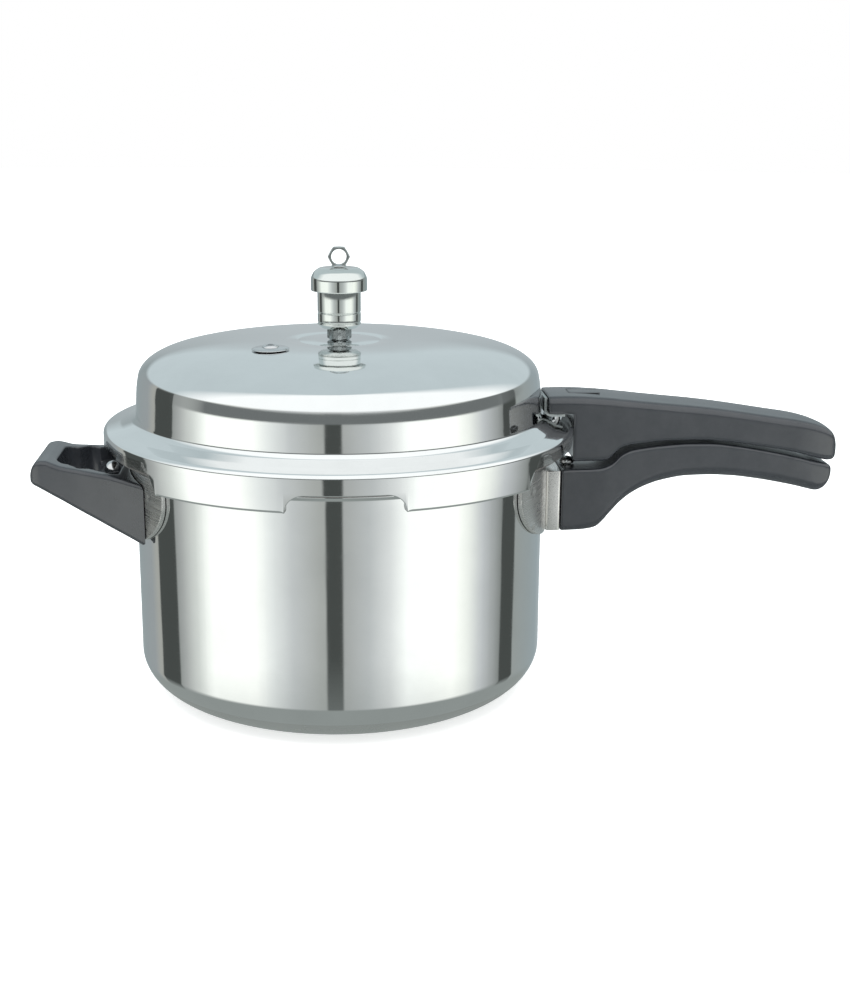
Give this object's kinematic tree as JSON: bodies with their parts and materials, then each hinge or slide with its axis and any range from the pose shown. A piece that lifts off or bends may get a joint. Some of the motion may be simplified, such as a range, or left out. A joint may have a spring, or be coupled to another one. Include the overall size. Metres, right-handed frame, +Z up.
{
  "type": "stovetop pressure cooker",
  "caption": "Polished aluminium pressure cooker with an outer twist-lock lid, a jiggler weight on a vent pipe, a long double bakelite handle and a short loop grip.",
  "frame": {"origin": "middle of the pot's flat base, on the pot's axis", "axes": "+Z up along the pot's axis, +X along the long double handle, the short loop grip along -X"},
  "size_m": [0.4372, 0.252, 0.2396],
  "materials": {
    "polished_aluminium": "mirror-polished aluminium sheet with a very fine spun grain",
    "satin_bracket": "satin pressed aluminium sheet",
    "bakelite": "moulded black phenolic resin, half-gloss",
    "rubber": "matt grey-black moulded rubber",
    "nickel_plate": "bright nickel plate on turned brass",
    "steel": "bright turned steel",
    "fusible_alloy": "dull cast tin alloy"
  },
  "bodies": {
    "pot": {"pot_body": "polished_aluminium", "main_bracket": "satin_bracket", "lower_handle": "bakelite", "lower_handle_screw": "steel", "lower_handle_nut": "steel", "helper_bracket": "satin_bracket", "helper_handle": "bakelite", "helper_handle_screw": "steel", "helper_handle_nut": "steel"},
    "seal": {"gasket": "rubber"},
    "lid": {"lid_shell": "polished_aluminium", "lid_bracket": "satin_bracket", "lid_bracket_rivet_left": "steel", "lid_bracket_rivet_right": "steel", "upper_handle": "bakelite", "upper_handle_screw": "steel", "handle_badge": "bakelite", "vent_pipe": "steel", "vent_washer": "rubber", "vent_nut": "steel", "safety_plug_body": "steel", "safety_plug_alloy": "fusible_alloy", "safety_plug_nut": "steel"},
    "weight_spring": {"weight_clip": "steel"},
    "weight": {"weight_body": "nickel_plate", "weight_cap": "nickel_plate", "weight_eye": "steel", "weight_needle": "steel"}
  },
  "joints": [
    {"name": "lid_lift", "type": "slide", "parent": "pot", "child": "seal", "axis": [0, 0, 1], "range_m": [0, 0.12]},
    {"name": "lid_turn", "type": "hinge", "parent": "seal", "child": "lid", "pos_m": [0, 0, 0.15], "axis": [0, 0, 1], "range_deg": [0, 30]},
    {"name": "weight_lift", "type": "slide", "parent": "lid", "child": "weight_spring", "axis": [0, 0, 1], "range_m": [0, 0.03]},
    {"name": "weight_spin", "type": "hinge", "parent": "weight_spring", "child": "weight", "pos_m": [0, 0, 0.205], "axis": [0, 0, 1], "continuous": true}
  ]
}
